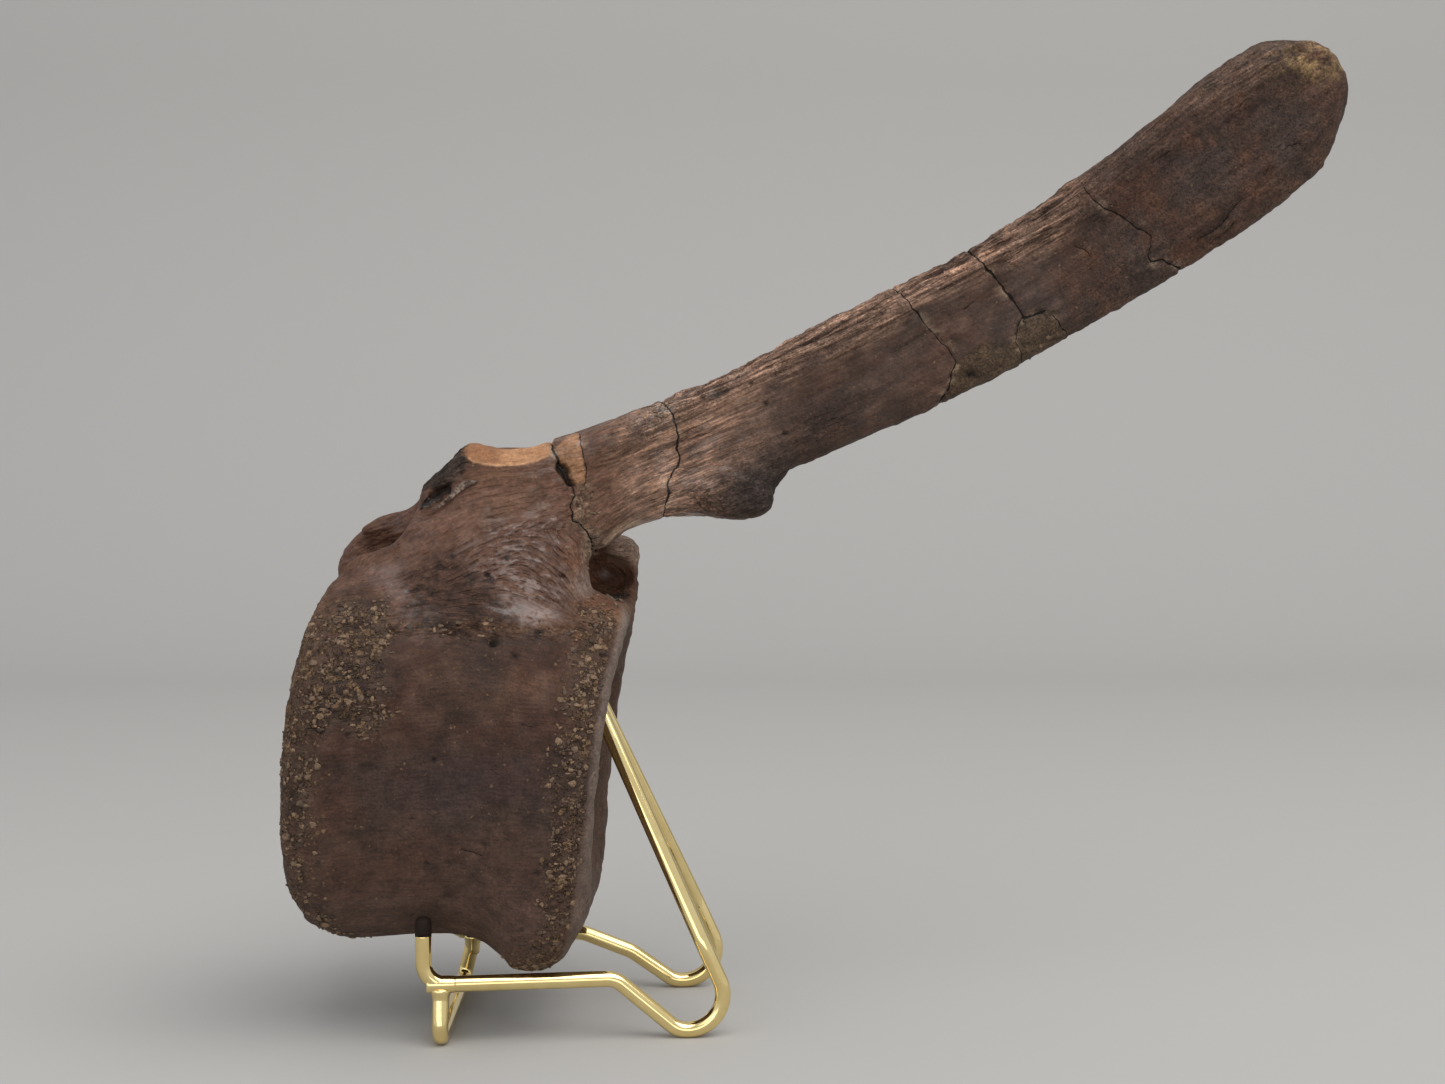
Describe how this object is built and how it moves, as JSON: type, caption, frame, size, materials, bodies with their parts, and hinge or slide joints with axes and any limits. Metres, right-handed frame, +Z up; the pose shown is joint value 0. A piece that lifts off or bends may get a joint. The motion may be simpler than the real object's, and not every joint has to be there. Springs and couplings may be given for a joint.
{
  "type": "fossil tail vertebra on a wire stand",
  "caption": "Fossil hadrosaur caudal vertebra with a tall centrum and long swept neural spine, leaning on a bent brass wire stand.",
  "frame": {"origin": "middle of the bounding box's underside, on the table under the stand", "axes": "+Z up; +X from the front of the centrum towards the tip of the neural spine, along the stand's rails; +Y from the bone's left side, seen in the picture, to its right side"},
  "size_m": [0.2714, 0.0798, 0.2523],
  "materials": {
    "fossil_bone": "mineralised bone, fibrous grain, worn crust and hairline cracks, thin satin consolidant",
    "polished_brass": "polished and lacquered, mirror-like along the wire",
    "dark_tip": "dull dark coating on the wire ends"
  },
  "bodies": {
    "root": {"vertebra": "fossil_bone", "stand_wire": "polished_brass", "front_foot": "polished_brass", "hook_tip_near": "dark_tip", "hook_tip_far": "dark_tip"}
  },
  "joints": []
}
